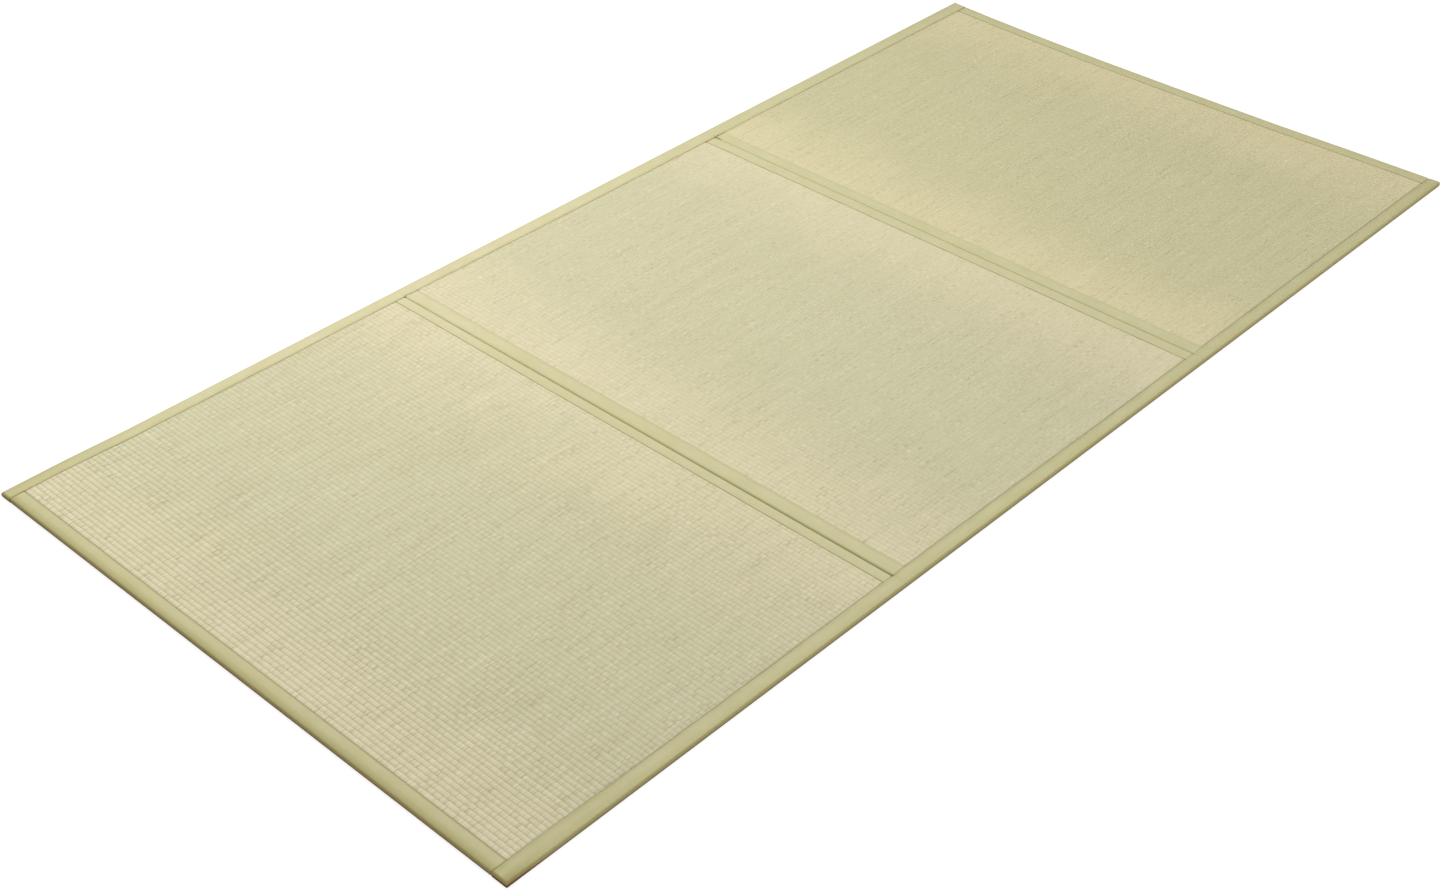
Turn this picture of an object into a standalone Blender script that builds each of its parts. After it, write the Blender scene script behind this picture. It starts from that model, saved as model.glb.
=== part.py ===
# A folding floor mat: three panels of woven rush, bound with plain cloth along every edge.
# It lies open and flat with its underside on z = 0, its length along X and its width along Y.
# Places on the mat are measured along it from the near end and across it from the right side.

import math

import bmesh
import bpy
import numpy as np

# Whole mat
PANEL_LENGTH = 0.697
FOLDS = (PANEL_LENGTH, 2 * PANEL_LENGTH)
MAT_WIDTH = 1.000
THICKNESS = 0.0085
RUSH_TOP = 0.0080

# Cloth and clearances
CLOTH = 0.0010
GAP = 0.0003
LAYER = CLOTH + GAP
RAMP = 0.0030
TUCKED_END = 0.0026

# How round the edges are: squared at the rim of the mat, bullnosed where two panels meet
EDGE_ROUNDING = {
    "rim": {"top": 0.0026, "bottom": 0.0014},
    "fold": {"top": 0.0038, "bottom": 0.0038},
    "tight fold": {"top": 0.0022, "bottom": 0.0022},
}
LEAST_RADIUS = 0.0002
ARC_STEPS = 3
REACH_STEP = ARC_STEPS + 1
RAMP_STEP = ARC_STEPS + 2

# The long bindings sink a little into the two folds that they cross, less into the tight one
FOLD_DIPS = (0.0010, 0.0001)
FOLD_DIP_HALF_WIDTH = 0.0060
FOLD_DIP_STEPS = 3

# The far end stands out at its corners, and the left side flares at the near end
FAR_EDGE = {
    "across": (0.00, 0.15, 0.30, 0.50, 0.66, 0.80, 0.90, 1.00),
    "reach": (0.0140, 0.0095, 0.0035, 0.0002, -0.0008, 0.0012, 0.0040, 0.0095),
}
LEFT_EDGE = {
    "along": (0.00, 0.10, 0.20, 3 * PANEL_LENGTH),
    "flare": (0.0030, 0.0028, 0.0000, 0.0000),
}

# Widths of the bindings, which are slightly uneven
LONG_WIDTHS = {
    "along": (0.00, 0.10, 0.20, PANEL_LENGTH + 0.10, PANEL_LENGTH + 0.45, 3 * PANEL_LENGTH),
    "right": (0.0240, 0.0240, 0.0220, 0.0216, 0.0192, 0.0192),
    "left": (0.0195, 0.0205, 0.0216, 0.0234, 0.0266, 0.0268),
}
CROSS_WIDTHS = {
    "across": (0.00, 0.30, 0.66, 1.00),
    "end_binding_near": (0.0225, 0.0228, 0.0222, 0.0225),
    "fold_binding_1_near": (0.0183, 0.0181, 0.0186, 0.0183),
    "fold_binding_1_far": (0.0246, 0.0248, 0.0244, 0.0246),
    "fold_binding_2_near": (0.0200, 0.0202, 0.0212, 0.0217),
    "fold_binding_2_far": (0.0228, 0.0226, 0.0226, 0.0224),
    "end_binding_far": (0.0225, 0.0224, 0.0228, 0.0226),
}

# Each cross edge: its place along the mat, which way its panel lies, and its rounding
CROSS_EDGES = {
    "end_binding_near": {"at": 0.0, "inward": 1, "rounding": "rim"},
    "fold_binding_1_near": {"at": PANEL_LENGTH - GAP / 2, "inward": -1, "rounding": "fold"},
    "fold_binding_1_far": {"at": PANEL_LENGTH + GAP / 2, "inward": 1, "rounding": "fold"},
    "fold_binding_2_near": {"at": 2 * PANEL_LENGTH - GAP / 2, "inward": -1, "rounding": "tight fold"},
    "fold_binding_2_far": {"at": 2 * PANEL_LENGTH + GAP / 2, "inward": 1, "rounding": "tight fold"},
    "end_binding_far": {"at": 3 * PANEL_LENGTH, "inward": -1, "rounding": "rim"},
}
LONG_INWARD = {"right": 1, "left": -1}

# Each panel: the cross bindings at its two ends, and its grid lines between them
PANELS = {
    "rush_panel_near": {"ends": ("end_binding_near", "fold_binding_1_near"), "start": 0.0},
    "rush_panel_middle": {
        "ends": ("fold_binding_1_far", "fold_binding_2_near"),
        "start": PANEL_LENGTH,
    },
    "rush_panel_far": {
        "ends": ("fold_binding_2_far", "end_binding_far"),
        "start": 2 * PANEL_LENGTH,
    },
}
INNER_LINES_ALONG = (0.10, 0.20, 0.45)
INNER_LINES_ACROSS = FAR_EDGE["across"][1:-1]

# The origin is under the middle of the whole mat
FARTHEST_REACH = max(FAR_EDGE["reach"])
WIDEST_FLARE = max(LEFT_EDGE["flare"])
NEAR_END = -(3 * PANEL_LENGTH + FARTHEST_REACH) / 2
RIGHT_SIDE = -(MAT_WIDTH + WIDEST_FLARE) / 2

RUSH_LOOK = {"name": "rush", "colour": (0.640, 0.600, 0.375, 1.0), "roughness": 0.72}
CLOTH_LOOK = {"name": "binding_cloth", "colour": (0.560, 0.550, 0.290, 1.0), "roughness": 0.85}


def clear_scene():
    for thing in list(bpy.data.objects):
        bpy.data.objects.remove(thing, do_unlink=True)


def make_material(look):
    material = bpy.data.materials.new(look["name"])
    material.use_nodes = True
    shader = material.node_tree.nodes["Principled BSDF"]
    shader.inputs["Base Color"].default_value = look["colour"]
    shader.inputs["Roughness"].default_value = look["roughness"]
    shader.inputs["Metallic"].default_value = 0.0
    material.diffuse_color = look["colour"]
    return material


def read_table(table, place_column, value_column, place):
    return float(np.interp(place, table[place_column], table[value_column]))


def cross_edge_place(name, across):
    # How far along the mat a cross edge lies, at one place across it
    reach = 0.0
    if name == "end_binding_far":
        reach = read_table(FAR_EDGE, "across", "reach", across)
    return CROSS_EDGES[name]["at"] + reach


def long_edge_place(side, along):
    # How far across the mat a long edge lies, at one place along it
    if side == "right":
        return 0.0
    return MAT_WIDTH + read_table(LEFT_EDGE, "along", "flare", along)


def margin_point(rounding, face, step, depth, width):
    # A point of the margin that a binding covers, as (inset from the edge, depth from the face).
    # Steps run from the upright side round the arc, then to the binding's inner edge and its ramp.
    if step == RAMP_STEP:
        return width + GAP + RAMP, 0.0
    if step == REACH_STEP:
        return width + GAP, depth
    radius = max(EDGE_ROUNDING[rounding][face] - depth, LEAST_RADIUS)
    angle = math.pi / 2 * step / ARC_STEPS
    inset = depth + radius * (1 - math.cos(angle))
    return inset, depth + radius * (1 - math.sin(angle))


def grid_lines(first_edge, last_edge, inner_lines):
    # Lines from one edge of a panel to the other, each an (edge, step) or a (None, place)
    steps = range(RAMP_STEP + 1)
    lines = [(first_edge, step) for step in steps]
    lines += [(None, place) for place in inner_lines]
    lines += [(last_edge, step) for step in reversed(steps)]
    return lines


def panel_point(along_line, across_line, face):
    cross_name, cross_step = along_line
    side, long_step = across_line
    under_cross = cross_name is not None and cross_step <= REACH_STEP
    under_long = side is not None and long_step <= REACH_STEP
    nominal_along = CROSS_EDGES[cross_name]["at"] if cross_name else cross_step
    nominal_across = {"right": 0.0, "left": MAT_WIDTH}[side] if side else long_step

    depths = [THICKNESS - RUSH_TOP if face == "top" else 0.0]
    across = nominal_across
    if side:
        width = read_table(LONG_WIDTHS, "along", side, nominal_along)
        layers = 2 if under_cross else 1
        inset, depth = margin_point("rim", face, long_step, layers * LAYER, width)
        across = long_edge_place(side, nominal_along) + LONG_INWARD[side] * inset
        depths.append(depth)
    along = nominal_along
    if cross_name:
        edge = CROSS_EDGES[cross_name]
        width = read_table(CROSS_WIDTHS, "across", cross_name, nominal_across)
        layers = 2 if under_long else 1
        inset, depth = margin_point(edge["rounding"], face, cross_step, layers * LAYER, width)
        along = cross_edge_place(cross_name, across) + edge["inward"] * inset
        depths.append(depth)
    height = THICKNESS - max(depths) if face == "top" else max(depths)
    return along, across, height


def edge_section(rounding, depth, width):
    # The outer face of a binding cut across, from its top flap round the edge to its bottom flap
    arc = range(ARC_STEPS, -1, -1)
    top = [(width, depth)]
    top += [margin_point(rounding, "top", step, depth, width) for step in arc]
    bottom = [margin_point(rounding, "bottom", step, depth, width) for step in reversed(arc)]
    bottom += [(width, depth)]
    section = [(inset, THICKNESS - below) for inset, below in top]
    section += [(inset, below) for inset, below in bottom]
    return section


def mesh_from_rows(name, rows, make_faces):
    model = bmesh.new()
    corners = [[model.verts.new(point) for point in row] for row in rows]
    make_faces(model, corners)
    mesh = bpy.data.meshes.new(name)
    model.to_mesh(mesh)
    model.free()
    return mesh


def open_sheet_faces(model, corners):
    for row, next_row in zip(corners, corners[1:]):
        for k in range(len(row) - 1):
            model.faces.new((row[k], row[k + 1], next_row[k + 1], next_row[k]))


def closed_slab_faces(model, corners):
    # Each row is a ring, its top from end to end and its bottom back. The first and last are closed.
    for ring, next_ring in zip(corners, corners[1:]):
        for k in range(len(ring)):
            following = (k + 1) % len(ring)
            model.faces.new((ring[k], ring[following], next_ring[following], next_ring[k]))
    for ring in (corners[0], corners[-1]):
        for k in range(len(ring) // 2 - 1):
            model.faces.new((ring[k], ring[k + 1], ring[-2 - k], ring[-1 - k]))
    bmesh.ops.recalc_face_normals(model, faces=model.faces)


def add_object(mesh, location, material, collection):
    thing = bpy.data.objects.new(mesh.name, mesh)
    thing.location = location
    mesh.materials.append(material)
    mesh.shade_smooth()
    mesh.set_sharp_from_angle(angle=math.radians(40))
    collection.objects.link(thing)
    return thing


def make_panel(name, material, collection):
    panel = PANELS[name]
    along_lines = grid_lines(*panel["ends"], [panel["start"] + place for place in INNER_LINES_ALONG])
    across_lines = grid_lines("right", "left", INNER_LINES_ACROSS)
    rings = []
    for across_line in across_lines:
        top = [panel_point(line, across_line, "top") for line in along_lines]
        bottom = [panel_point(line, across_line, "bottom") for line in reversed(along_lines)]
        rings.append([(along - panel["start"], across, z) for along, across, z in top + bottom])
    mesh = mesh_from_rows(name, rings, closed_slab_faces)
    add_object(mesh, (NEAR_END + panel["start"], RIGHT_SIDE, 0.0), material, collection)


def add_cloth(name, rows, location, material, collection):
    # The rows give the cloth's outer face, and its thickness goes inwards from there
    mesh = mesh_from_rows(name, rows, open_sheet_faces)
    thing = add_object(mesh, location, material, collection)
    wall = thing.modifiers.new("Cloth", "SOLIDIFY")
    wall.thickness = CLOTH
    wall.offset = -1.0
    wall.use_even_offset = True


def make_cross_binding(name, material, collection):
    # It steps down at both ends, to pass under the long bindings.
    # Each row's order makes the sheet face outwards.
    edge = CROSS_EDGES[name]
    right_width = read_table(LONG_WIDTHS, "along", "right", edge["at"])
    left_width = read_table(LONG_WIDTHS, "along", "left", edge["at"])
    left_edge = long_edge_place("left", edge["at"])
    stations = [
        (TUCKED_END, 0.0, LAYER),
        (right_width + GAP, 0.0, LAYER),
        (right_width + GAP + RAMP, 0.0, 0.0),
    ]
    stations += [(place, place, 0.0) for place in INNER_LINES_ACROSS]
    stations += [
        (left_edge - left_width - GAP - RAMP, MAT_WIDTH, 0.0),
        (left_edge - left_width - GAP, MAT_WIDTH, LAYER),
        (left_edge - TUCKED_END, MAT_WIDTH, LAYER),
    ]
    rows = []
    for across, nominal_across, depth in stations:
        width = read_table(CROSS_WIDTHS, "across", name, nominal_across)
        section = edge_section(edge["rounding"], depth, width)
        start = cross_edge_place(name, across) - edge["at"]
        row = [(start + edge["inward"] * inset, across, z) for inset, z in section]
        rows.append(row[:: -edge["inward"]])
    location = (NEAR_END + edge["at"], RIGHT_SIDE, 0.0)
    add_cloth(name, rows, location, material, collection)


def dip_at(along):
    dip = 0.0
    for fold, depth in zip(FOLDS, FOLD_DIPS):
        nearness = 1 - abs(along - fold) / FOLD_DIP_HALF_WIDTH
        if nearness > 0:
            dip = depth * (1 - math.cos(math.pi * nearness)) / 2
    return dip


def long_stations():
    stations = list(LEFT_EDGE["along"] + LONG_WIDTHS["along"])
    for fold in FOLDS:
        for step in range(-FOLD_DIP_STEPS, FOLD_DIP_STEPS + 1):
            stations.append(fold + step * FOLD_DIP_HALF_WIDTH / FOLD_DIP_STEPS)
    return sorted({round(along, 6) for along in stations})


def make_long_binding(side, material, collection):
    # One strip over all the panels. Its last row follows the mat's far end.
    stations = long_stations()
    rows = []
    for along in stations:
        width = read_table(LONG_WIDTHS, "along", side, along)
        lowered = 1 - dip_at(along) / THICKNESS
        row = []
        for inset, z in edge_section("rim", 0.0, width):
            across = long_edge_place(side, along) + LONG_INWARD[side] * inset
            place = along
            if along == stations[-1]:
                place = cross_edge_place("end_binding_far", across)
            row.append((place, across, z * lowered))
        rows.append(row[:: LONG_INWARD[side]])
    location = (NEAR_END, RIGHT_SIDE, 0.0)
    add_cloth(f"long_binding_{side}", rows, location, material, collection)


def main():
    clear_scene()
    collection = bpy.data.collections.new("tatami_mat")
    bpy.context.scene.collection.children.link(collection)
    rush = make_material(RUSH_LOOK)
    cloth = make_material(CLOTH_LOOK)
    for name in PANELS:
        make_panel(name, rush, collection)
    for name in CROSS_EDGES:
        make_cross_binding(name, cloth, collection)
    for side in LONG_INWARD:
        make_long_binding(side, cloth, collection)


main()
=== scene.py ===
import math

import bpy
import numpy as np
from mathutils import Matrix, Vector


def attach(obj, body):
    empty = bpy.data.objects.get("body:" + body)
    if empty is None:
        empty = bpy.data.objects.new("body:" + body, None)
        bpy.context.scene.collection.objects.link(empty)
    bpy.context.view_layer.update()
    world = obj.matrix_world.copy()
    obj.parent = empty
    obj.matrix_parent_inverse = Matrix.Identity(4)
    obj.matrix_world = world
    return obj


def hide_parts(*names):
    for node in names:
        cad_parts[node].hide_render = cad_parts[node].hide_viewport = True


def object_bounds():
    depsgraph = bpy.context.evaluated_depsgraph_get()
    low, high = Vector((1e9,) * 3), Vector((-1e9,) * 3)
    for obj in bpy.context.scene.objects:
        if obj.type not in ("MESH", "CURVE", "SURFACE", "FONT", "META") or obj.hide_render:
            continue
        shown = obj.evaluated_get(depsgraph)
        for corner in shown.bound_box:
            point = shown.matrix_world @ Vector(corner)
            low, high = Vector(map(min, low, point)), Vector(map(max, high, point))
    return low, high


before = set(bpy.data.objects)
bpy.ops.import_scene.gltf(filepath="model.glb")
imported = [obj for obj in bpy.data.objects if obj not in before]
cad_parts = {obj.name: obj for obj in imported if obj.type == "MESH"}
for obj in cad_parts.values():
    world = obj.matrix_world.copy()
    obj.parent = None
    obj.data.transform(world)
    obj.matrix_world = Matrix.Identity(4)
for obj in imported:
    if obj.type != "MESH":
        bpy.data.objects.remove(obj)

cadLow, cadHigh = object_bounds()

# The mat's outline, measured along it from the near end and across it from the right side
mat = {
    "panelLength": 0.697,
    "width": 1.000,
    "thickness": 0.0085,
    "folds": (0.697, 1.394),
    "farAcross": (0.00, 0.15, 0.30, 0.50, 0.66, 0.80, 0.90, 1.00),
    "farReach": (0.0140, 0.0095, 0.0035, 0.0002, -0.0008, 0.0012, 0.0040, 0.0095),
    "leftAlong": (0.00, 0.10, 0.20, 2.091),
    "leftFlare": (0.0030, 0.0028, 0.0000, 0.0000),
}
matLength = 3 * mat["panelLength"]
print("frame loaded, mat from", tuple(cadLow), "to", tuple(cadHigh))


def farReach(across):
    return np.interp(across, mat["farAcross"], mat["farReach"])


def leftFlare(along):
    return np.interp(along, mat["leftAlong"], mat["leftFlare"])


def smooth(share):
    share = np.clip(share, 0.0, 1.0)
    return share * share * (3 - 2 * share)


def softLine(place, spacing, seed):
    # Smooth unevenness along a line, from -1 to 1, with a turn about every spacing
    knots = np.random.default_rng(seed).uniform(-1, 1, 4096)
    step = np.asarray(place) / spacing + 64
    low = np.floor(step).astype(int)
    return knots[low] + (knots[low + 1] - knots[low]) * smooth(step - low)


def softField(x, y, spacingX, spacingY, seed):
    # The same over a surface
    knots = np.random.default_rng(seed).uniform(-1, 1, (512, 512))
    stepX, stepY = np.asarray(x) / spacingX + 16, np.asarray(y) / spacingY + 16
    i, j = np.floor(stepX).astype(int), np.floor(stepY).astype(int)
    shareX, shareY = smooth(stepX - i), smooth(stepY - j)
    nearer = knots[i, j] * (1 - shareX) + knots[i + 1, j] * shareX
    farther = knots[i, j + 1] * (1 - shareX) + knots[i + 1, j + 1] * shareX
    return nearer * (1 - shareY) + farther * shareY


# Shader wiring: sums of sockets are written as plain expressions
class Wire:
    def __init__(self, tree, socket):
        self.tree = tree
        self.socket = socket

    def math(self, operation, other=0.0):
        return node(self.tree, "ShaderNodeMath", {"operation": operation}, [self, other])["Value"]

    def __add__(self, other):
        return self.math("ADD", other)

    def __sub__(self, other):
        return self.math("SUBTRACT", other)

    def __rsub__(self, other):
        return (self * -1.0).math("ADD", other)

    def __mul__(self, other):
        return self.math("MULTIPLY", other)

    def __truediv__(self, other):
        return self.math("DIVIDE", other)

    def __pow__(self, other):
        return self.math("POWER", other)

    __radd__ = __add__
    __rmul__ = __mul__

    def floor(self):
        return self.math("FLOOR")

    def fract(self):
        return self.math("FRACT")

    def absolute(self):
        return self.math("ABSOLUTE")

    def sine(self):
        return self.math("SINE")

    def between(self, low, high):
        # 0 at low, 1 at high, smooth in between
        settings = {"interpolation_type": "SMOOTHSTEP"}
        inputs = {"Value": self, "From Min": low, "From Max": high}
        return node(self.tree, "ShaderNodeMapRange", settings, inputs)["Result"]


def setStops(ramp, stops):
    while len(ramp.elements) < len(stops):
        ramp.elements.new(1.0)
    for element, (place, tint) in zip(ramp.elements, stops):
        element.position = place
        element.color = (*tint, 1.0)


def node(tree, kind, settings, inputs):
    # Adds a node, sets it, then fills its inputs with values or links. Gives its outputs by name.
    made = tree.nodes.new(kind)
    for name, value in settings.items():
        if name == "stops":
            setStops(made.color_ramp, value)
        else:
            setattr(made, name, value)
    named = inputs.items() if isinstance(inputs, dict) else enumerate(inputs)
    for name, value in named:
        socket = made.inputs[name]
        if isinstance(value, Wire):
            tree.links.new(value.socket, socket)
        else:
            socket.default_value = value
    return {output.name: Wire(tree, output) for output in made.outputs if output.enabled}


def blendColours(tree, share, first, second, kind="MIX"):
    settings = {"data_type": "RGBA", "blend_type": kind, "clamp_factor": True}
    made = node(tree, "ShaderNodeMix", settings, {0: share, 6: first, 7: second})
    return made["Result"]


def noise(tree, place, scale, detail=2.0, roughness=0.5):
    inputs = {"Vector": place, "Scale": scale, "Detail": detail, "Roughness": roughness}
    return node(tree, "ShaderNodeTexNoise", {}, inputs)["Fac"]


def combine(tree, x, y, z=0.0):
    return node(tree, "ShaderNodeCombineXYZ", {}, {"X": x, "Y": y, "Z": z})["Vector"]


def newMaterial(name):
    material = bpy.data.materials.new(name)
    material.use_nodes = True
    return material, material.node_tree, material.node_tree.nodes["Principled BSDF"]


def plug(tree, wire, shader, name):
    tree.links.new(wire.socket, shader.inputs[name])


rushWeave = {
    "ridgePitch": 0.0081,
    "strandPitch": 0.00135,
    "green": (0.570, 0.540, 0.345, 1.0),
    "straw": (0.666, 0.599, 0.393, 1.0),
    "dark": (0.340, 0.290, 0.145, 1.0),
    "pale": (0.780, 0.735, 0.530, 1.0),
    "shade": (0.240, 0.215, 0.090, 1.0),
    "farLot": (1.0, 0.995, 0.915, 1.0),
    "strawReach": (0.020, 0.210),
    # How clearly the ridges and strands stand out along the mat, with the painted highlight on the crests and
    # painted shade in the valleys
    "crisp": {
        "all": 0.40,
        "nearEnd": 0.32,
        "nearFrom": -0.98,
        "nearTo": -0.72,
        "fadeFrom": -0.50,
        "fadeTo": 0.05,
    },
    "bump": 0.00040,
}


def makeRushMaterial():
    # Strands run along U and are bound down every ridge pitch, each second one on top by turns
    material, tree, shader = newMaterial("wovenRush")
    weave = rushWeave
    place = node(tree, "ShaderNodeUVMap", {"uv_map": "weave"}, {})["UV"]
    split = node(tree, "ShaderNodeSeparateXYZ", {}, {"Vector": place})
    along, across = split["X"], split["Y"]
    body = node(tree, "ShaderNodeTexCoord", {}, {})["Object"]
    matPlace = node(tree, "ShaderNodeSeparateXYZ", {}, {"Vector": body})["X"]
    seam = node(tree, "ShaderNodeAttribute", {"attribute_name": "seam"}, {})["Fac"]

    column = along / weave["ridgePitch"]
    columnNumber = column.floor()
    inColumn = column.fract()
    turn = (columnNumber * 0.5).fract()
    strand = across / weave["strandPitch"] + turn
    strandNumber = strand.floor()
    inStrand = (strand.fract() - 0.5).absolute() * 2.0

    arch = (inColumn * math.pi).sine()
    roundness = (1.0 - inStrand * inStrand).math("MAXIMUM", 0.0) ** 0.5
    valley = 1.0 - arch.between(0.0, 0.55)
    crest = arch.between(0.55, 1.0)
    crisper = weave["crisp"]
    crisp = 1.0 - matPlace.between(crisper["nearFrom"], crisper["nearTo"])
    crisp = crisp * crisper["nearEnd"] + crisper["all"]
    crisp = crisp * (1.0 - matPlace.between(crisper["fadeFrom"], crisper["fadeTo"]) * 0.9)

    # Each strand has its own tone, which changes slowly along it
    strandTone = noise(tree, combine(tree, along * 5.0, strandNumber * 7.31 + turn * 3.7), 1.0, 2.0)
    grain = noise(tree, combine(tree, along * 60.0, across * 900.0), 1.0, 2.0)
    streak = noise(tree, combine(tree, along * 2.5, across * 48.0), 1.0, 3.0, 0.6)
    bundle = noise(tree, combine(tree, along * 7.0, across * 230.0), 1.0, 2.0)
    patch = noise(tree, combine(tree, along * 9.0, across * 9.0), 1.0, 2.0)
    bead = noise(tree, combine(tree, along * 11.0, across * 340.0 + turn * 83.7), 1.0, 1.0)
    fleck = noise(tree, combine(tree, columnNumber * 3.17, across * 430.0), 1.0, 1.0)

    fromEnd = (along - mat["panelLength"] / 2).absolute() * -1.0 + mat["panelLength"] / 2
    ragged = (strandTone - 0.5) * 0.30 + (bundle - 0.5) * 0.16 + (patch - 0.5) * 0.14
    mixed = matPlace.between(-0.62, -0.52) * (1.0 - matPlace.between(-0.37, -0.35))
    ragged = fromEnd + ragged * (mixed * 1.1 + 1.0)
    strawShare = 1.0 - ragged.between(*weave["strawReach"])
    colour = blendColours(tree, strawShare, weave["green"], weave["straw"])

    tone = (strandTone - 0.5) * 0.38 + (streak - 0.5) * 0.46 + (bundle - 0.5) * 0.60
    tone = tone + (bead - 0.5) * 1.20 + (fleck - 0.5) * 1.35 + (grain - 0.5) * 0.35
    tone = tone * (crisp * 0.46 + 0.60)
    colour = blendColours(tree, tone.between(0.0, 0.50) * 0.55, colour, weave["pale"])
    colour = blendColours(tree, (tone * -1.0).between(0.0, 0.50) * 0.55, colour, weave["dark"])
    # Painted highlight on the ridge crests and painted shade in the valleys between them
    colour = blendColours(tree, crest * crisp * 0.22, colour, weave["pale"])
    colour = blendColours(tree, valley * (crisp * 0.56 + 0.02), colour, weave["dark"])

    # Painted shade where a few strands lie open for a few centimetres, and painted shade along the seams
    parting = noise(tree, combine(tree, along * 8.0, strandNumber * 5.71 + 40.0), 1.0, 1.0)
    parting = parting.between(0.70, 0.76)
    colour = blendColours(tree, parting * 0.18, colour, weave["dark"])
    colour = blendColours(tree, seam * 0.62, colour, weave["shade"])
    lot = (across / 5.0).between(1.5, 2.0)
    colour = blendColours(tree, lot, colour, weave["farLot"], "MULTIPLY")
    plug(tree, colour, shader, "Base Color")

    plug(tree, 0.50 + (1.0 - strandTone) * 0.25 + valley * 0.10, shader, "Roughness")
    thread = (across / weave["strandPitch"] * (2 * math.pi)).sine() * 0.5 + 0.5
    height = roundness * (arch ** 0.4) + valley * thread * 0.35 + (fleck - 0.5) * 0.6
    height = height + (grain - 0.5) * 0.25 - parting * 0.8
    bump = node(tree, "ShaderNodeBump", {}, {"Strength": 0.8, "Distance": weave["bump"], "Height": height})
    plug(tree, bump["Normal"], shader, "Normal")
    shader.inputs["Specular IOR Level"].default_value = 0.25
    return material


clothWeave = {
    "threadPitch": 0.00052,
    "sage": (0.560, 0.530, 0.298, 1.0),
    "pale": (0.630, 0.595, 0.368, 1.0),
    "shade": (0.400, 0.370, 0.170, 1.0),
    # Painted light on the left of the near half
    "paintedLightLeft": (1.05, 1.03, 1.09, 1.0),
    # Browner tint for the near end's darker lower cloth
    "nearEndBrowner": (1.10, 0.96, 0.86, 1.0),
    # Painted shade, partly wear: from the clean lit face of the mat to its darkest lowest edge
    "wear": (
        (0.00, (1.00, 1.00, 1.00)),
        (0.06, (0.87, 0.85, 0.76)),
        (0.18, (0.62, 0.59, 0.44)),
        (0.38, (0.45, 0.43, 0.31)),
        (0.62, (0.43, 0.39, 0.28)),
        (0.85, (0.26, 0.20, 0.12)),
        (1.00, (0.13, 0.08, 0.04)),
    ),
    "bump": 0.00012,
}


def makeClothMaterial():
    # A plain weave that follows the cloth round the edge, with slubs and painted shade, partly wear, on the
    # lower side
    material, tree, shader = newMaterial("bindingCloth")
    weave = clothWeave
    place = node(tree, "ShaderNodeUVMap", {"uv_map": "weave"}, {})["UV"]
    split = node(tree, "ShaderNodeSeparateXYZ", {}, {"Vector": place})
    along, round_ = split["X"], split["Y"]
    wear = node(tree, "ShaderNodeAttribute", {"attribute_name": "wear"}, {})["Fac"]

    warp = (along * (2 * math.pi / weave["threadPitch"])).sine()
    weft = (round_ * (2 * math.pi / weave["threadPitch"])).sine()
    threads = warp * weft
    slub = noise(tree, combine(tree, along * 900.0, round_ * 60.0), 1.0, 2.0)
    slubAcross = noise(tree, combine(tree, along * 60.0, round_ * 1100.0), 1.0, 2.0)
    cloud = noise(tree, combine(tree, along * 22.0, round_ * 40.0), 1.0, 3.0)

    paler = ((slub - 0.5) * 0.6 + (slubAcross - 0.5) * 0.6 + (cloud - 0.5) * 0.9).between(-0.25, 0.35)
    colour = blendColours(tree, paler * 0.55, weave["sage"], weave["pale"])
    colour = blendColours(tree, (1.0 - threads.between(-0.9, 0.2)) * 0.12, colour, weave["shade"])
    body = node(tree, "ShaderNodeTexCoord", {}, {})["Object"]
    split = node(tree, "ShaderNodeSeparateXYZ", {}, {"Vector": body})
    matPlace, side = split["X"], split["Y"]
    # Painted shade towards both ends of the mat, where the light falls off
    paintedEndShade = (matPlace * -1.0).between(0.75, 1.05) * 0.022 + matPlace.between(0.75, 1.05) * 0.016
    # Painted shade, partly wear, from the shade-and-wear share and the ends, a little uneven
    paintedShadeAndWear = wear + paintedEndShade + (cloud - 0.5) * 0.10 * wear.between(0.0, 0.3)
    tint = node(tree, "ShaderNodeValToRGB", {"stops": weave["wear"]}, {"Fac": paintedShadeAndWear})["Color"]
    colour = blendColours(tree, 1.0, colour, tint, "MULTIPLY")
    # Painted light: paler on the left of the near half of the mat, where the key light falls
    paintedLightLeft = side.between(0.15, 0.45) * matPlace.between(-1.0, -0.5) * (1.0 - matPlace.between(-0.1, 0.5))
    colour = blendColours(tree, paintedLightLeft, colour, weave["paintedLightLeft"], "MULTIPLY")
    # Browner on the near end, over the darker lower part of its cloth
    nearEndBrowner = (matPlace * -1.0).between(0.98, 1.04) * wear.between(0.10, 0.40)
    colour = blendColours(tree, nearEndBrowner, colour, weave["nearEndBrowner"], "MULTIPLY")
    plug(tree, colour, shader, "Base Color")
    plug(tree, 0.80 + (cloud - 0.5) * 0.15, shader, "Roughness")
    relief = threads * 0.5 + (slub - 0.5) * 0.8 + (slubAcross - 0.5) * 0.8
    bump = node(tree, "ShaderNodeBump", {}, {"Strength": 0.7, "Distance": weave["bump"], "Height": relief})
    plug(tree, bump["Normal"], shader, "Normal")
    shader.inputs["Sheen Weight"].default_value = 0.04
    shader.inputs["Sheen Roughness"].default_value = 0.6
    shader.inputs["Specular IOR Level"].default_value = 0.1
    return material


threadLook = {
    "plain": (0.600, 0.560, 0.330, 1.0),
    "pale": (0.680, 0.640, 0.420, 1.0),
    "shade": (0.360, 0.320, 0.150, 1.0),
    "twist": 9000.0,
    "bump": 0.00006,
}


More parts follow.
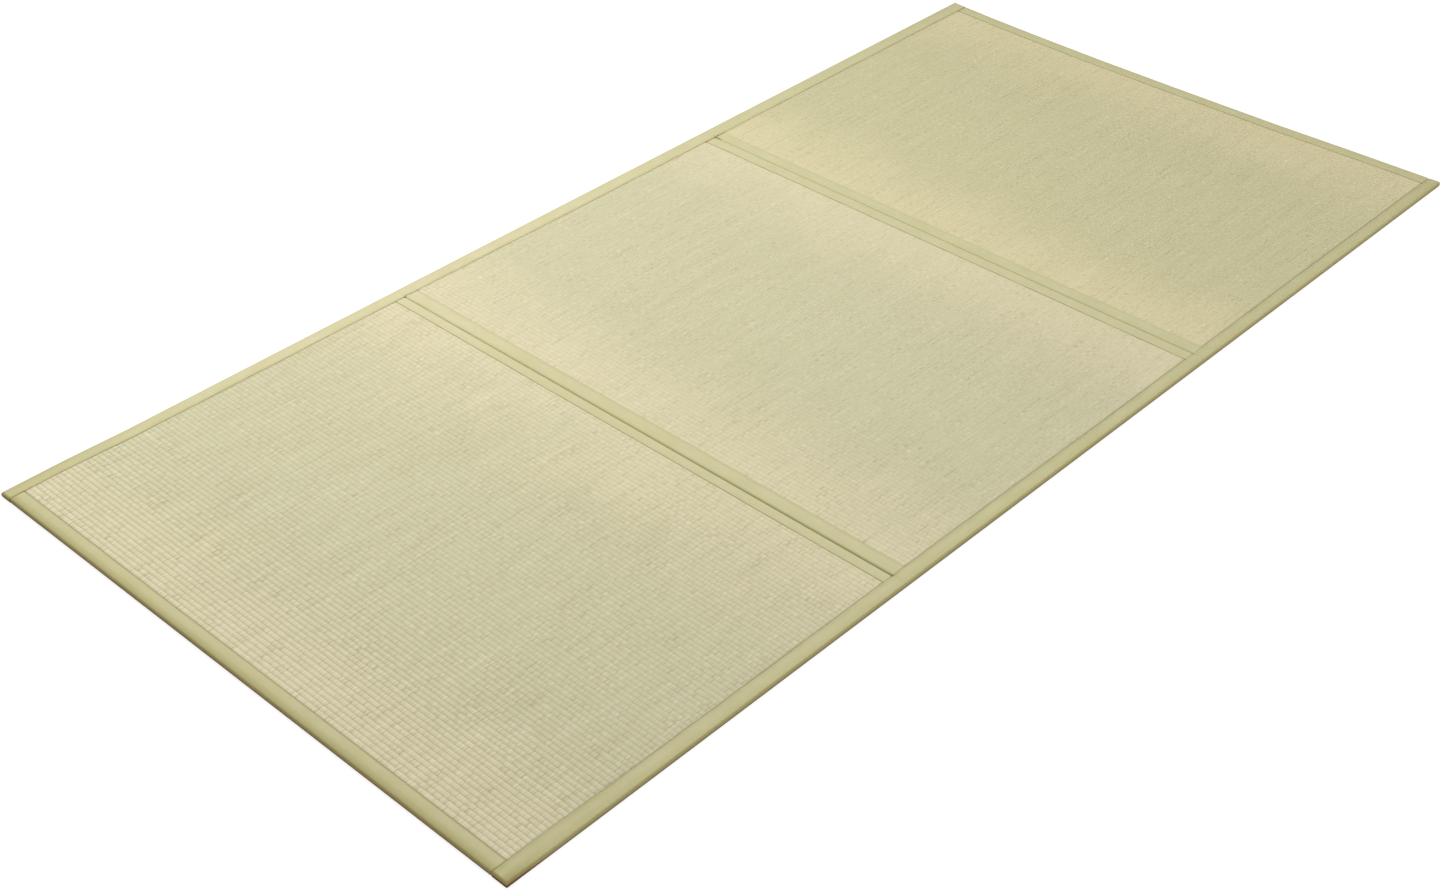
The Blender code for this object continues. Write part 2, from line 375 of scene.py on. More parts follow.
def makeThreadMaterial():
    # Twisted sewing thread, a little paler than the cloth
    material, tree, shader = newMaterial("sewingThread")
    place = node(tree, "ShaderNodeUVMap", {"uv_map": "weave"}, {})["UV"]
    split = node(tree, "ShaderNodeSeparateXYZ", {}, {"Vector": place})
    twist = (split["X"] * threadLook["twist"] + split["Y"] * (2 * math.pi)).sine() * 0.5 + 0.5
    tone = noise(tree, combine(tree, split["X"] * 120.0, 0.5), 1.0, 1.0)
    colour = blendColours(tree, tone, threadLook["plain"], threadLook["pale"])
    colour = blendColours(tree, (1.0 - twist) * 0.35, colour, threadLook["shade"])
    plug(tree, colour, shader, "Base Color")
    plug(tree, 0.55 + tone * 0.2, shader, "Roughness")
    bump = node(tree, "ShaderNodeBump", {}, {"Strength": 0.6, "Distance": threadLook["bump"], "Height": twist})
    plug(tree, bump["Normal"], shader, "Normal")
    return material


# Modelling helpers
def addGrid(name, alongSteps, roundSteps):
    bpy.ops.object.select_all(action="DESELECT")
    bpy.ops.mesh.primitive_grid_add(x_subdivisions=alongSteps, y_subdivisions=roundSteps, size=2)
    piece = bpy.context.active_object
    piece.name = name
    piece.data.name = name
    return piece


def readPoints(piece):
    points = np.empty(len(piece.data.vertices) * 3)
    piece.data.vertices.foreach_get("co", points)
    return points.reshape(-1, 3)


def writePoints(piece, x, y, z):
    points = np.stack([x + cadLow.x, y + cadLow.y, z], axis=1)
    piece.data.vertices.foreach_set("co", points.ravel())
    piece.data.update()


def writeMap(piece, u, v):
    # A UV map in metres, from values at the points
    uvMap = piece.data.uv_layers.active or piece.data.uv_layers.new(name="weave")
    uvMap.name = "weave"
    corner = np.empty(len(piece.data.loops), int)
    piece.data.loops.foreach_get("vertex_index", corner)
    uvMap.data.foreach_set("uv", np.stack([u[corner], v[corner]], axis=1).ravel())


def writeShare(piece, name, values):
    # A number from 0 to 1 at each point, for the piece's material
    share = piece.data.attributes.new(name, "FLOAT", "POINT")
    share.data.foreach_set("value", np.asarray(values, dtype=float))


def applyModifier(piece, kind, settings):
    modifier = piece.modifiers.new(kind.title(), kind)
    for name, value in settings.items():
        setattr(modifier, name, value)
    bpy.context.view_layer.objects.active = piece
    bpy.ops.object.modifier_apply(modifier=modifier.name)


def smoothFaces(piece, degrees):
    bpy.ops.object.select_all(action="DESELECT")
    piece.select_set(True)
    bpy.context.view_layer.objects.active = piece
    bpy.ops.object.shade_smooth_by_angle(angle=math.radians(degrees))


def finishPiece(piece, material):
    piece.data.materials.clear()
    piece.data.materials.append(material)
    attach(piece, "root")


# Bindings: cloth wrapped round an edge and sewn down along its inner edge
binding = {
    "cloth": 0.0009,
    "layer": 0.0013,
    "clear": 0.0003,
    "ramp": 0.0030,
    "tuckedEnd": 0.0028,
    "rounding": {
        "rim": {"top": 0.0026, "bottom": 0.0014},
        "near rim": {"top": 0.0026, "bottom": 0.0032},
        "fold": {"top": 0.0038, "bottom": 0.0038},
        "tight fold": {"top": 0.0022, "bottom": 0.0022},
    },
    "flapLines": (0.0, 0.0006, 0.0014, 0.0022, 0.0050, 0.0100),
    "arcSteps": 5,
    "wallSteps": 2,
    "edgeWander": 0.00035,
    "swell": 0.00010,
    "fall": 0.00030,
    "seamInset": 0.0014,
    "seamDepth": 0.00022,
    "seamHalfWidth": 0.0006,
    "innerShadeFrom": 0.0015,
    "innerShadeReach": 0.004,
    "faceShadeReach": 0.018,
    "foldDips": (0.0002, 0.0001),
    "foldHalfWidth": 0.0060,
    "foldNotches": (0.0014, 0.0010),
    "endRounding": 0.0022,
}
# How much painted shade, partly wear, lies in the folds at places across the mat, against the mat's edges
foldShadeAndWear = {
    "across": (0.00, 0.955, 0.968, 1.00),
    "fold": (0.42, 0.03, 0.03, 0.03),
    "tight fold": (0.26, 0.12, 2.20, 2.20),
}
longWidths = {
    "along": (0.00, 0.10, 0.20, 0.797, 1.147, 2.091),
    "right": (0.0240, 0.0240, 0.0220, 0.0216, 0.0192, 0.0192),
    "left": (0.0195, 0.0205, 0.0216, 0.0234, 0.0266, 0.0268),
}
crossWidths = {
    "across": (0.00, 0.30, 0.66, 1.00),
    "end_binding_near": (0.0225, 0.0228, 0.0222, 0.0225),
    "fold_binding_1_near": (0.0183, 0.0181, 0.0186, 0.0183),
    "fold_binding_1_far": (0.0246, 0.0248, 0.0244, 0.0246),
    "fold_binding_2_near": (0.0200, 0.0202, 0.0212, 0.0217),
    "fold_binding_2_far": (0.0228, 0.0226, 0.0226, 0.0224),
    "end_binding_far": (0.0225, 0.0224, 0.0228, 0.0226),
}
crossEdges = {
    "end_binding_near": {"at": 0.0, "inward": 1, "rounding": "near rim"},
    "fold_binding_1_near": {"at": 0.69685, "inward": -1, "rounding": "fold"},
    "fold_binding_1_far": {"at": 0.69715, "inward": 1, "rounding": "fold"},
    "fold_binding_2_near": {"at": 1.39385, "inward": -1, "rounding": "tight fold"},
    "fold_binding_2_far": {"at": 1.39415, "inward": 1, "rounding": "tight fold"},
    "end_binding_far": {"at": 2.091, "inward": -1, "rounding": "rim"},
}
# Painted shade on the cloth, partly wear: down the wall, over the rolled edge, over the face towards it, and
# at the inner edge
crossShades = {
    "end_binding_near": {"wall": 1.18, "roll": 0.19, "rollReach": 0.0047, "face": 0.035, "inner": 0.0},
    "fold_binding_1_near": {"wall": 1.0, "roll": 0.12, "rollReach": 0.0049, "face": 0.0, "inner": 0.01},
    "fold_binding_1_far": {"wall": 1.0, "roll": 0.12, "rollReach": 0.0049, "face": 0.0, "inner": 0.03},
    "fold_binding_2_near": {"wall": 1.0, "roll": 0.12, "rollReach": 0.0029, "face": 0.0, "inner": 0.0},
    "fold_binding_2_far": {"wall": 1.0, "roll": 0.12, "rollReach": 0.0029, "face": 0.0, "inner": 0.02},
    "end_binding_far": {"wall": 1.0, "roll": 0.10, "rollReach": 0.0034, "face": 0.0, "inner": 0.0},
}
longShades = {
    "right": {"wall": 1.0, "roll": 0.09, "rollReach": 0.0034, "face": 0.035, "inner": 0.0},
    "left": {"wall": 1.0, "roll": 0.08, "rollReach": 0.0034, "face": 0.0, "inner": 0.01},
}
# Painted shade added to them at a long binding's near end
cornerShades = {
    "right": {"reach": 0.07, "wall": 0.45, "roll": 0.16, "rollReach": 0.0013, "face": 0.0, "inner": 0.0},
    "left": {"reach": 0.30, "wall": 0.20, "roll": 0.04, "rollReach": 0.0, "face": 0.04, "inner": 0.0},
}
sewing = {
    "pitch": 0.0042,
    "stitch": 0.0031,
    "radius": 0.00019,
    "rise": 0.00014,
    "sink": 0.00008,
    "sides": 4,
    "thinEnd": 0.6,
    "fromEnd": 0.006,
}


def longWidth(side, along):
    return np.interp(along, longWidths["along"], longWidths[side])


def crossWidth(name, across):
    return np.interp(across, crossWidths["across"], crossWidths[name])


def edgeWander(place, seed):
    # The hand-turned edge of the cloth isn't quite straight
    wander = softLine(place, 0.04, seed) + 0.4 * softLine(place, 0.010, seed + 1)
    return binding["edgeWander"] * wander


def wrapSection(rounding, depth, width):
    # (inset, height) from the top flap's inner edge round the edge to the bottom flap's
    thickness = mat["thickness"]
    topRadius = max(rounding["top"] - depth, 0.0002)
    lowRadius = max(rounding["bottom"] - depth, 0.0002)
    quarter = np.linspace(0.0, math.pi / 2, binding["arcSteps"] + 1)
    wall = np.linspace(0.0, 1.0, binding["wallSteps"] + 1)[1:-1]
    topStart, lowStart = depth + topRadius, depth + lowRadius
    flap = width - np.array(binding["flapLines"])
    inset = [flap, topStart - topRadius * np.sin(quarter)]
    height = [np.full(len(flap), thickness - depth), thickness - topStart + topRadius * np.cos(quarter)]
    inset.append(np.full(len(wall), depth))
    height.append(thickness - topStart + (lowStart - thickness + topStart) * wall)
    inset += [lowStart - lowRadius * np.cos(quarter), flap[::-1]]
    height += [lowStart - lowRadius * np.sin(quarter), np.full(len(flap), depth)]
    return np.concatenate(inset), np.concatenate(height)


def faceRise(place, inset, width, seed):
    # The upper face swells a little, falls towards the inner edge and is drawn in along the sewing
    fromEdge = width - inset
    rise = binding["swell"] * softLine(place, 0.03, seed + 2) * smooth(inset / 0.01)
    rise = rise - binding["fall"] * (1 - smooth(fromEdge / 0.013))
    return rise - seamDraw(fromEdge)


def innerShade(fromEdge):
    # Painted shade where the face slopes down to the inner edge
    return 1 - smooth((fromEdge - binding["innerShadeFrom"]) / binding["innerShadeReach"])


def faceShade(inset):
    # And painted shade, darker towards the outer edge, where the domed face turns from the light
    return 1 - smooth(inset / binding["faceShadeReach"])


def seamDraw(fromEdge):
    share = (fromEdge - binding["seamInset"]) / binding["seamHalfWidth"]
    return binding["seamDepth"] * np.exp(-(share ** 2))


def shapedHeight(place, inset, z, width, seed):
    upper = z + faceRise(place, inset, width, seed)
    lower = z + seamDraw(width - inset)
    return np.where(z > mat["thickness"] / 2, upper, lower)


def edgeShadeAndWear(inset, z, shades):
    # Painted shade, partly wear: none on the face, more over the rounded edge, most at the lowest, fading
    # again on the underside
    fall = np.clip((mat["thickness"] - 0.0001 - z) / mat["thickness"] * shades["wall"], 0.0, 1.0)
    rolled = shades["roll"] * (1 - smooth(inset / shades["rollReach"]))
    return np.clip(fall + rolled, 0.0, 1.0) * (1 - smooth((inset - 0.003) / 0.008) * (z < 0.004))


def wrapCloth(name, rows, alongMap, wear, seed):
    # Each row is (along, across, z) arrays of one section. The grid takes their places, then its thickness.
    steps = len(rows[0][0]) - 1
    piece = addGrid(name, len(rows) - 1, steps)
    flat = readPoints(piece)
    i = np.rint((flat[:, 0] + 1) / 2 * (len(rows) - 1)).astype(int)
    j = np.rint((flat[:, 1] + 1) / 2 * steps).astype(int)
    table = np.array(rows)
    writePoints(piece, table[i, 0, j], table[i, 1, j], table[i, 2, j])
    # Painted shade, partly wear, at each point
    writeShare(piece, "wear", np.array(wear)[i, j])
    span = np.linalg.norm(np.diff(table, axis=2), axis=1)
    roundMap = np.concatenate([np.zeros((len(rows), 1)), np.cumsum(span, axis=1)], axis=1)
    writeMap(piece, np.array(alongMap)[i] + seed * 3.0, roundMap[i, j])
    applyModifier(piece, "SOLIDIFY", {"thickness": binding["cloth"], "offset": -1.0})
    smoothFaces(piece, 50)
    return piece


def makeStitches(name, start, end, placeOn, material):
    # One stitch is drawn out of a small ring, repeated along the seam above and below, then laid on the cloth
    count = int((end - start) / sewing["pitch"])
    bpy.ops.object.select_all(action="DESELECT")
    bpy.ops.mesh.primitive_circle_add(
        vertices=sewing["sides"], radius=sewing["radius"], fill_type="NGON", rotation=(0, math.pi / 2, 0)
    )
    piece = bpy.context.active_object
    piece.name = name
    piece.data.name = name
    bpy.ops.object.mode_set(mode="EDIT")
    bpy.ops.mesh.select_all(action="SELECT")
    for part in range(3):
        bpy.ops.mesh.extrude_region_move(TRANSFORM_OT_translate={"value": (sewing["stitch"] / 3, 0, 0)})
    bpy.ops.mesh.select_all(action="SELECT")
    bpy.ops.mesh.normals_make_consistent(inside=False)
    bpy.ops.object.mode_set(mode="OBJECT")
    bpy.ops.object.transform_apply(location=True, rotation=True, scale=True)
    settings = {
        "count": 2 * count,
        "use_relative_offset": False,
        "use_constant_offset": True,
        "constant_offset_displace": (sewing["pitch"], 0, 0),
    }
    applyModifier(piece, "ARRAY", settings)
    points = readPoints(piece)
    number = np.floor((points[:, 0] + 0.0002) / sewing["pitch"])
    share = (points[:, 0] - number * sewing["pitch"]) / sewing["stitch"]
    above = number < count
    place = start + points[:, 0] - np.where(above, 0.0, count * sewing["pitch"])
    arch = np.sin(math.pi * np.clip(share, 0, 1))
    thickness = sewing["thinEnd"] + (1 - sewing["thinEnd"]) * arch
    side = points[:, 1] * thickness
    up = points[:, 2] * thickness + sewing["rise"] * arch - sewing["sink"]
    x, y, z = placeOn(place, side, up, above)
    writePoints(piece, x, y, z)
    writeMap(piece, place, np.arctan2(points[:, 2], points[:, 1]) / (2 * math.pi))
    smoothFaces(piece, 60)
    finishPiece(piece, material)
    return piece


def seamHeight(place, inset, up, above, width, seed):
    top = mat["thickness"] + faceRise(place, inset, width, seed) + up
    return np.where(above, top, seamDraw(width - inset) - up * 0.5)


def crossStations(name):
    # Places across the mat: a tucked end, the slope up from under the long binding, and the open run
    at = crossEdges[name]["at"]
    clear, ramp = binding["clear"], binding["ramp"]
    right = longWidth("right", at)
    left = mat["width"] + leftFlare(at) - longWidth("left", at)
    slope = np.linspace(0.0, 1.0, 5)
    run = np.linspace(right + clear + ramp, left - clear - ramp, 190)
    start = [binding["tuckedEnd"], right / 2]
    end = [mat["width"] + leftFlare(at) - (right / 2), mat["width"] + leftFlare(at) - binding["tuckedEnd"]]
    up, down = right + clear + ramp * slope, left - clear - ramp * slope[::-1]
    places = np.concatenate([start, up, run[1:-1], down, end])
    rise = np.minimum(places - right - clear, left - clear - places) / ramp
    return places, binding["layer"] * (1 - smooth(rise)), (run[0], run[-1])


def makeCrossBinding(name, seed, cloth, thread):
    edge, shades = crossEdges[name], crossShades[name]
    places, depths, openRun = crossStations(name)
    if edge["inward"] < 0:
        places, depths = places[::-1], depths[::-1]
    rows, wear = [], []
    for across, depth in zip(places, depths):
        open_ = 1 - depth / binding["layer"]
        width = crossWidth(name, across) + edgeWander(across, seed) * open_
        inset, z = wrapSection(binding["rounding"][edge["rounding"]], depth, width)
        # Painted shade, partly wear, over the section
        shadeAndWearHere = edgeShadeAndWear(inset, z, shades)
        if edge["rounding"] in foldShadeAndWear:
            shadeAndWearHere = shadeAndWearHere * np.interp(across, foldShadeAndWear["across"], foldShadeAndWear[edge["rounding"]])
        shadeAndWearHere = shadeAndWearHere + shades["face"] * faceShade(inset)
        wear.append(shadeAndWearHere + shades["inner"] * innerShade(width - inset))
        z = z + (shapedHeight(across, inset, z, width, seed) - z) * open_
        start = edge["at"] + (farReach(across) if name == "end_binding_far" else 0.0)
        rows.append((start + edge["inward"] * inset, np.full(len(inset), across), z))
    piece = wrapCloth(name.replace("binding", "tape"), rows, places, wear, seed)
    finishPiece(piece, cloth)
    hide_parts(name)

    def placeOn(place, side, up, above):
        width = crossWidth(name, place) + edgeWander(place, seed)
        inset = width - binding["seamInset"] + side
        reach = farReach(place) if name == "end_binding_far" else 0.0
        z = seamHeight(place, inset, up, above, width, seed)
        return edge["at"] + reach + edge["inward"] * inset, place, z

    stitches = makeStitches(name.replace("binding", "stitches"), *openRun, placeOn, thread)
    return piece


def foldDip(along):
    dip = np.zeros_like(along)
    for fold, depth in zip(mat["folds"], binding["foldDips"]):
        nearness = np.clip(1 - np.abs(along - fold) / binding["foldHalfWidth"], 0, 1)
        dip = dip + depth * (1 - np.cos(math.pi * nearness)) / 2
    return dip


def foldNotch(along):
    # Just past a fold the cloth is turned in a little further
    notch = np.zeros_like(along)
    for fold, depth in zip(mat["folds"], binding["foldNotches"]):
        past = along - fold
        notch = notch + depth * smooth((past + 0.001) / 0.002) * smooth((0.016 - past) / 0.010)
    return notch


def clothWidth(side, along, seed):
    return longWidth(side, along) - foldNotch(along) + edgeWander(along, seed)


def longStations():
    # Closer together at the folds
    places = list(np.linspace(0.004, matLength - 0.004, 360))
    for fold in mat["folds"]:
        places = [place for place in places if abs(place - fold) > 0.0185]
        places += list(fold + np.linspace(-0.018, 0.018, 25))
    return sorted(places)


def longPlace(side, along, inset):
    # A point of a long binding in plan. Its far end follows the far end of the mat.
    inward = 1 if side == "right" else -1
    outer = 0.0 if side == "right" else mat["width"] + leftFlare(along)
    across = outer + inward * inset
    return along + farReach(across) * smooth((along - matLength + 0.1) / 0.1), across


def makeLongBinding(side, seed, cloth, thread):
    thickness, radius = mat["thickness"], binding["endRounding"]
    corner = cornerShades[side]
    # The cloth is turned down over each end: (share of the height kept, place in from the end)
    turned = [(0.06, 0.0), (0.27, 0.0)]
    for angle in np.linspace(0, math.pi / 2, 6)[:-1]:
        turned.append((1 - 2 * radius / thickness * (1 - math.sin(angle)), radius * (1 - math.cos(angle))))
    stations = [(inside, kept) for kept, inside in turned] + [(place, 1.0) for place in longStations()]
    stations += [(matLength - inside, kept) for kept, inside in reversed(turned)]
    if side == "right":
        stations = stations[::-1]
    rows, wear, alongMap = [], [], []
    for place, kept in stations:
        along = np.array(place)
        width = clothWidth(side, along, seed)
        inset, z = wrapSection(binding["rounding"]["rim"], 0.0, width)
        z = shapedHeight(along, inset, z, width, seed)
        z = z * (1 - foldDip(along) / thickness)
        z = thickness / 2 + (z - thickness / 2) * kept
        nearCorner = 1 - smooth(along / corner["reach"])
        shades = {kind: shade + corner[kind] * nearCorner for kind, shade in longShades[side].items()}
        # Painted shade, partly wear, over the section
        shadeAndWearHere = edgeShadeAndWear(inset, z, shades)
        shadeAndWearHere = shadeAndWearHere + shades["inner"] * innerShade(width - inset)
        shadeAndWearHere = shadeAndWearHere + shades["face"] * faceShade(inset)
        if kept < 1:
            shadeAndWearHere = np.maximum(shadeAndWearHere, edgeShadeAndWear(np.zeros(len(z)), z, shades))
        wear.append(shadeAndWearHere)
        x, y = longPlace(side, np.full(len(inset), place), inset)
        rows.append((x, y, z))
        alongMap.append(place)
    piece = wrapCloth(f"long_tape_{side}", rows, alongMap, wear, seed)
    finishPiece(piece, cloth)
    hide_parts(f"long_binding_{side}")

    def placeOn(place, offset, up, above):
        width = clothWidth(side, place, seed)
        inset = width - binding["seamInset"] + offset
        z = seamHeight(place, inset, up, above, width, seed) - np.where(above, foldDip(place), 0.0)
        return *longPlace(side, place, inset), z

    gap = sewing["fromEnd"]
    stitches = makeStitches(f"long_stitches_{side}", gap, matLength - gap, placeOn, thread)
    return piece


# Rush panels: a woven slab, pressed down along the seams and under the bindings
panels = {
    "rush_panel_near": {"start": 0.0, "near": "end_binding_near", "far": "fold_binding_1_near"},
    "rush_panel_middle": {"start": 0.697, "near": "fold_binding_1_far", "far": "fold_binding_2_near"},
    "rush_panel_far": {"start": 1.394, "near": "fold_binding_2_far", "far": "end_binding_far"},
}
rushSlab = {
    "crest": 0.0081,
    "ridgeDepth": 0.00045,
    "crispDepth": 0.00060,
    "pressed": 0.0071,
    "pressedTwice": 0.0058,
    "press": 0.0022,
    "longWidth": 0.0240,
    "wall": 0.0042,
    "acrossLines": 114,
    "phases": (0.0, 0.22, 0.50, 0.78),
    "wander": 0.00035,
    "bowFade": 0.35,
    "doublePress": 0.003,
    "underClear": 0.0003,
    "lowerShare": 0.6,
    # Strength of the painted shade along each seam
    "seamShade": {"near": (0.8, 0.15, 0.15), "far": (0.03, 0.0, 0.05), "right": 0.75, "left": 0.0},
}


def seamLines(width):
    # Lines near an edge, under the binding and over the pressed seam
    return [rushSlab["wall"], 0.012, width - 0.001, width, width + 0.0008, width + 0.0018, width + 0.0030]


def ridgeLines(low, high):
    pitch = rushWeave["ridgePitch"]
    lines = [(k + phase) * pitch for k in range(120) for phase in rushSlab["phases"]]
    return [place for place in lines if low < place < high]


def followEdge(distance, width, change):
    # Lines near an edge move with the binding's uneven inner edge
    return change * np.interp(distance, (0.0, width, 3 * width), (0.0, 1.0, 0.0))


def crispness(x):
    # How clearly the ridges stand out at a place along the mat, as in the rush material
    crisp = rushWeave["crisp"]
    near = 1 - smooth((x - crisp["nearFrom"]) / (crisp["nearTo"] - crisp["nearFrom"]))
    fade = smooth((x - crisp["fadeFrom"]) / (crisp["fadeTo"] - crisp["fadeFrom"]))
    return (crisp["all"] + crisp["nearEnd"] * near) * (1 - 0.9 * fade)


def seamShade(distance):
    return 1 - smooth((distance - 0.0016) / 0.0016)


def makePanel(name, index, material):
    panel = panels[name]
    length, slab = mat["panelLength"], rushSlab
    nearWidth = float(np.mean(crossWidths[panel["near"]]))
    farWidth = float(np.mean(crossWidths[panel["far"]]))
    nearLines, farLines = seamLines(nearWidth), seamLines(farWidth)
    sideLines = seamLines(slab["longWidth"])
    alongLines = np.array(
        nearLines
        + ridgeLines(nearLines[-1] + 0.001, length - farLines[-1] - 0.001)
        + [length - place for place in reversed(farLines)]
    )
    openRun = np.linspace(sideLines[-1], mat["width"] - sideLines[-1], slab["acrossLines"])
    acrossLines = np.array(
        sideLines[:-1] + list(openRun) + [mat["width"] - place for place in reversed(sideLines[:-1])]
    )

    piece = addGrid(name.replace("panel", "weave"), len(alongLines) - 1, len(acrossLines) - 1)
    bpy.ops.object.mode_set(mode="EDIT")
    bpy.ops.mesh.select_all(action="SELECT")
    bpy.ops.mesh.extrude_region_move(TRANSFORM_OT_translate={"value": (0, 0, 1)})
    bpy.ops.mesh.select_all(action="SELECT")
    bpy.ops.mesh.normals_make_consistent(inside=False)
    bpy.ops.object.mode_set(mode="OBJECT")

    flat = readPoints(piece)
    i = np.rint((flat[:, 0] + 1) / 2 * (len(alongLines) - 1)).astype(int)
    j = np.rint((flat[:, 1] + 1) / 2 * (len(acrossLines) - 1)).astype(int)
    onTop = flat[:, 2] > 0.5
    u, v = alongLines[i], acrossLines[j]

    # In plan: the ridges wander a little, and the lines follow the outline and the bindings
    width = mat["width"]
    along = panel["start"] + u
    y = v + followEdge(v, slab["longWidth"], longWidth("right", along) - slab["longWidth"])
    y = y - followEdge(width - v, slab["longWidth"], longWidth("left", along) - slab["longWidth"])
    y = y + leftFlare(along) * smooth((v - 0.7) / 0.3)
    x = along + followEdge(u, nearWidth, crossWidth(panel["near"], y) - nearWidth)
    x = x - followEdge(length - u, farWidth, crossWidth(panel["far"], y) - farWidth)
    inside = smooth(np.minimum(u, length - u) / 0.06 - 0.5)
    x = x + slab["wander"] * softField(u, v, 0.11, 0.05, 40 + index) * inside
    if panel["far"] == "end_binding_far":
        x = x + farReach(y) * smooth((u - length + slab["bowFade"]) / slab["bowFade"])

    # In height: ridges over the open weave, pressed margins under one or two layers of cloth
    fromCross = np.minimum(u - nearWidth, length - u - farWidth)
    fromLong = np.minimum(v, width - v) - slab["longWidth"]
    pastCross, pastLong = fromCross - slab["underClear"], fromLong - slab["underClear"]
    underCross = 1 - smooth(pastCross / slab["press"])
    underLong = 1 - smooth(pastLong / slab["press"])
    doubled = (1 - smooth(pastCross / slab["doublePress"])) * (1 - smooth(pastLong / slab["doublePress"]))
    covered = np.maximum(underCross, underLong)
    ridge = np.abs(np.sin(math.pi * u / rushWeave["ridgePitch"])) ** 0.6
    depth = slab["ridgeDepth"] + slab["crispDepth"] * crispness(along + cadLow.x)
    depth = depth * (1 + 0.18 * softField(u, v, 0.0081, 0.03, 50 + index))
    swell = 0.00012 * softField(u, v, 0.09, 0.12, 60 + index)
    crest = slab["crest"] - depth * (1 - ridge) + swell - 0.00012
    top = crest * (1 - covered) + slab["pressed"] * covered
    top = top - (slab["pressed"] - slab["pressedTwice"]) * doubled
    thickness = mat["thickness"]
    under = depth * (1 - ridge) * slab["lowerShare"]
    low = under * (1 - covered) + (thickness - slab["pressed"]) * covered
    low = low + (slab["pressed"] - slab["pressedTwice"]) * doubled
    writePoints(piece, x, y, np.where(onTop, top, low))
    writeMap(piece, u, v + 5.0 * index)

    # Painted shade along the seams, most along the near end and the right side
    shade = slab["seamShade"]
    seam = shade["near"][index] * seamShade(u - nearWidth)
    for strength, distance in (
        (shade["far"][index], length - u - farWidth),
        (shade["right"], v - slab["longWidth"]),
        (shade["left"], width - v - slab["longWidth"]),
    ):
        seam = np.maximum(seam, strength * seamShade(distance))
    writeShare(piece, "seam", seam)
    smoothFaces(piece, 60)
    finishPiece(piece, material)
    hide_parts(name)
    return piece


rush = makeRushMaterial()
cloth = makeClothMaterial()
thread = makeThreadMaterial()
print("materials made")
for index, name in enumerate(panels):
    made = makePanel(name, index, rush)
    print("panel", made.name, len(made.data.polygons), "faces")
for index, name in enumerate(crossEdges):
    made = makeCrossBinding(name, 10 + 5 * index, cloth, thread)
    print("binding", made.name, len(made.data.polygons), "faces")
for index, side in enumerate(("right", "left")):
    made = makeLongBinding(side, 50 + 5 * index, cloth, thread)
    print("binding", made.name, len(made.data.polygons), "faces")

# Floor, light and camera
studio = {
    "floorSize": 160.0,
    "floorColour": (0.36, 0.36, 0.36, 1.0),
    "floorGlow": 0.78,
    "skyLow": 0.30,
    "skyHigh": 1.19,
    "keyPlace": (-0.25, 0.85, 1.80),
    "keySize": 0.8,
    "keyPower": 19.2,
    "sidePlace": (1.0, -3.5, 0.36),
    "sideTarget": (0.3, -0.5, 0.0),
    "sideSize": 0.6,
    "sidePower": 50.0,
}
view = {
    "place": (-2.0776, -1.7208, 1.7931),
    "azimuth": -45.51,
    "elevation": 36.855,
    "roll": -0.514,
    "imageWidth": 1445,
    "focalPixels": 2144.4,
    "middlePixel": 641.1,
    "sensor": 36.0,
}


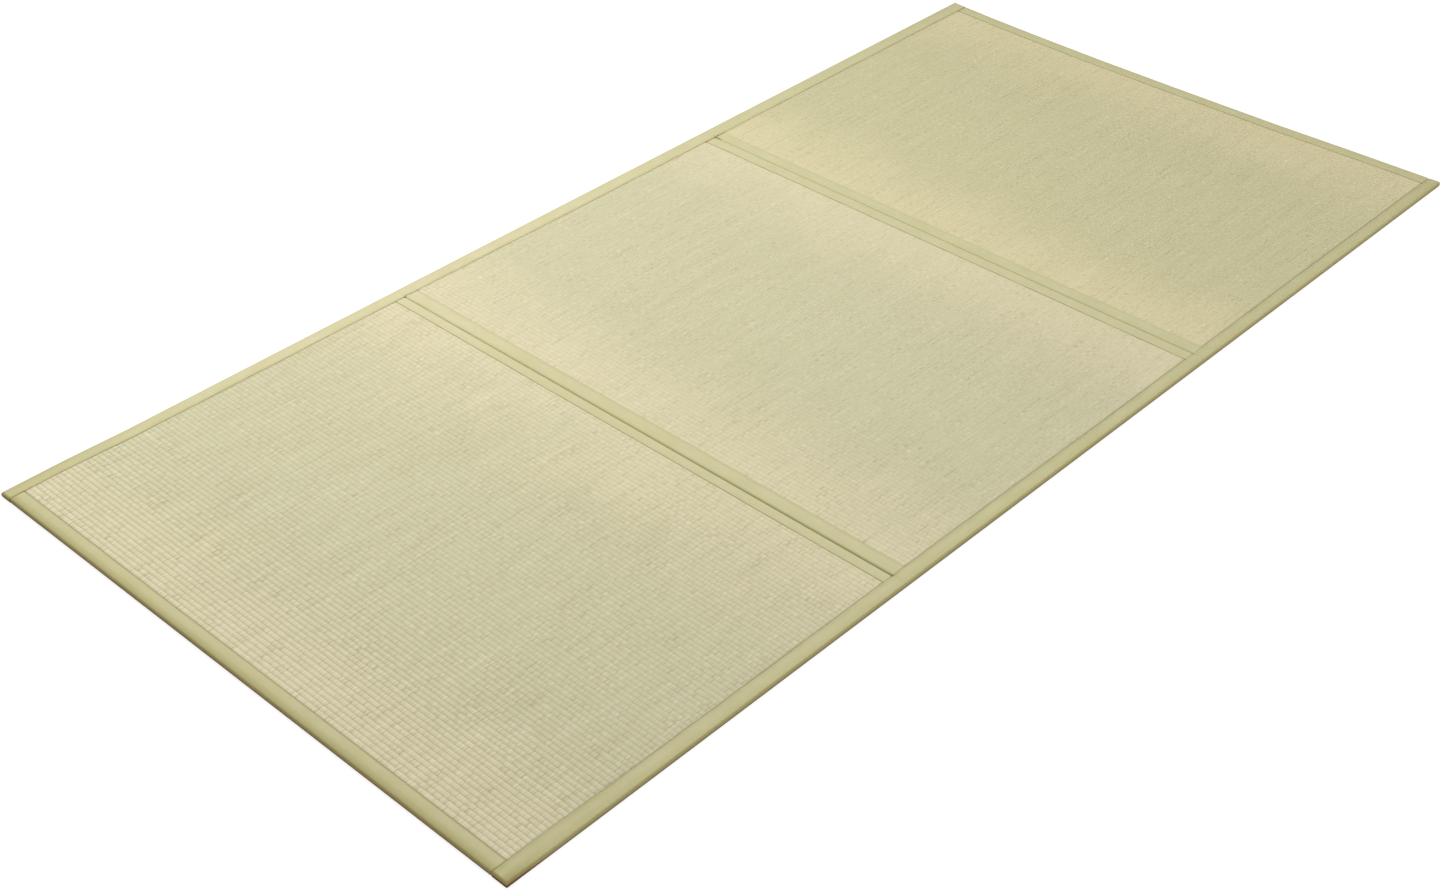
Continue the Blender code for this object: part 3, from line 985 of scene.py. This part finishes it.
def makeFloor():
    bpy.ops.object.select_all(action="DESELECT")
    bpy.ops.mesh.primitive_grid_add(
        x_subdivisions=8, y_subdivisions=8, size=studio["floorSize"], location=(0, 0, -0.0003)
    )
    floor = bpy.context.active_object
    floor.name = "studio_floor"
    material, tree, shader = newMaterial("studioFloor")
    shader.inputs["Base Color"].default_value = studio["floorColour"]
    shader.inputs["Roughness"].default_value = 0.9
    shader.inputs["Specular IOR Level"].default_value = 0.1
    shader.inputs["Emission Color"].default_value = (1.0, 1.0, 1.0, 1.0)
    shader.inputs["Emission Strength"].default_value = studio["floorGlow"]
    floor.data.materials.append(material)


def makeSky():
    # Brighter overhead than at the horizon, as under a large soft ceiling light
    world = bpy.data.worlds.new("studioSky")
    bpy.context.scene.world = world
    world.use_nodes = True
    tree = world.node_tree
    place = node(tree, "ShaderNodeTexCoord", {}, {})["Generated"]
    height = node(tree, "ShaderNodeSeparateXYZ", {}, {"Vector": place})["Z"].math("MAXIMUM", 0.0)
    strength = height * height * (studio["skyHigh"] - studio["skyLow"]) + studio["skyLow"]
    tree.links.new(strength.socket, tree.nodes["Background"].inputs["Strength"])
    tree.nodes["Background"].inputs["Color"].default_value = (1.0, 1.0, 1.0, 1.0)


def makeLamp(name, place, target, size, power):
    lamp = bpy.data.lights.new(name, "AREA")
    lamp.shape = "DISK"
    lamp.size = size
    lamp.energy = power
    placed = bpy.data.objects.new(name, lamp)
    bpy.context.scene.collection.objects.link(placed)
    placed.location = place
    placed.rotation_euler = (Vector(target) - Vector(place)).to_track_quat("-Z", "Y").to_euler()


def makeCamera():
    lens = bpy.data.cameras.new("photoCamera")
    lens.sensor_width = view["sensor"]
    lens.lens = view["focalPixels"] * view["sensor"] / view["imageWidth"]
    lens.shift_x = 0.5 - view["middlePixel"] / view["imageWidth"]
    camera = bpy.data.objects.new("photoCamera", lens)
    bpy.context.scene.collection.objects.link(camera)
    turn = Matrix.Rotation(math.radians(view["azimuth"]), 4, "Z")
    tilt = Matrix.Rotation(math.radians(90 - view["elevation"]), 4, "X")
    roll = Matrix.Rotation(math.radians(view["roll"]), 4, "Z")
    camera.matrix_world = Matrix.Translation(view["place"]) @ turn @ tilt @ roll
    bpy.context.scene.camera = camera


makeFloor()
makeSky()
keyTarget = (studio["keyPlace"][0], studio["keyPlace"][1], 0.0)
makeLamp("softKey", studio["keyPlace"], keyTarget, studio["keySize"], studio["keyPower"])
makeLamp("sideFill", studio["sidePlace"], studio["sideTarget"], studio["sideSize"], studio["sidePower"])
makeCamera()
bpy.context.scene.view_settings.view_transform = "Standard"
print("floor, light and camera made")
